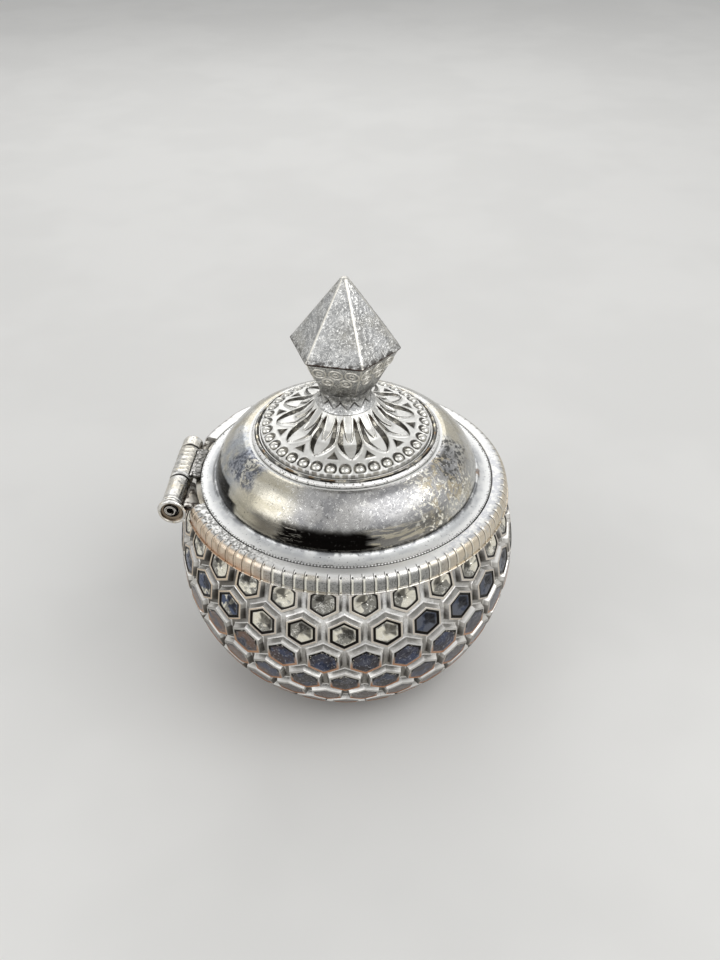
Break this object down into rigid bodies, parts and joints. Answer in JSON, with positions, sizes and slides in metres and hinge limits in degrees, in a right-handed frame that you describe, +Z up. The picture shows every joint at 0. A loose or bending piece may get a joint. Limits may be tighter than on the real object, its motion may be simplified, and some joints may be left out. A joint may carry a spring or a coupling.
{
  "type": "sindoor box",
  "caption": "Round plated metal powder box: embossed bowl with six-sided pads, ribbed collar and a hinged domed lid with petal medallion and six-sided knob.",
  "frame": {"origin": "centre of the flat underside of the base plate", "axes": "+Z up through the knob, -X towards the hinge, +Y along the hinge pin"},
  "size_m": [0.0535, 0.0528, 0.0687],
  "materials": {
    "pad_silver": "silver plated, mirror-polished six-sided pads in frosted white valleys, copper tint on worn edges",
    "base_silver": "silver plated, plain turned disc, dulled by handling",
    "band_silver": "silver plated, plain turned, satin, darkened in the seam",
    "collar_silver": "silver plated, polished crests and warm tarnish between the ribs",
    "hinge_silver": "silver plated, polished, with dark joints",
    "tab_metal": "worn through to warm brown metal at the solder",
    "frosted_silver": "silver plated, frosted white",
    "dome_silver": "silver plated, polished with fine scratches and pits",
    "petal_silver": "silver plated, frosted ground with bright chased edges",
    "knob_silver": "silver plated, finely flecked satin faces and bright ridges",
    "plain_brass": "turned brass, unplated"
  },
  "bodies": {
    "body": {"bowl": "pad_silver", "base_plate": "base_silver", "mouth_band": "band_silver", "collar": "collar_silver", "front_knuckle": "hinge_silver", "rear_knuckle": "hinge_silver", "hinge_pin": "hinge_silver", "hinge_end_ring": "hinge_silver", "front_tab": "tab_metal", "rear_tab": "tab_metal"},
    "lid": {"lid_knuckle": "hinge_silver", "lid_tab": "frosted_silver", "lid_rim": "frosted_silver", "lid_skirt": "band_silver", "lid_dome": "dome_silver", "medallion_ring": "dome_silver", "medallion": "petal_silver", "bead_ring": "petal_silver", "neck": "knob_silver", "knob_lower": "knob_silver", "knob_upper": "knob_silver", "knob_stud": "plain_brass", "knob_washer": "plain_brass", "knob_nut": "plain_brass"}
  },
  "joints": [
    {"name": "lid_hinge", "type": "hinge", "parent": "body", "child": "lid", "pos_m": [-0.02518, 0, 0.03539], "axis": [0, -1, 0], "range_deg": [0, 105]}
  ]
}
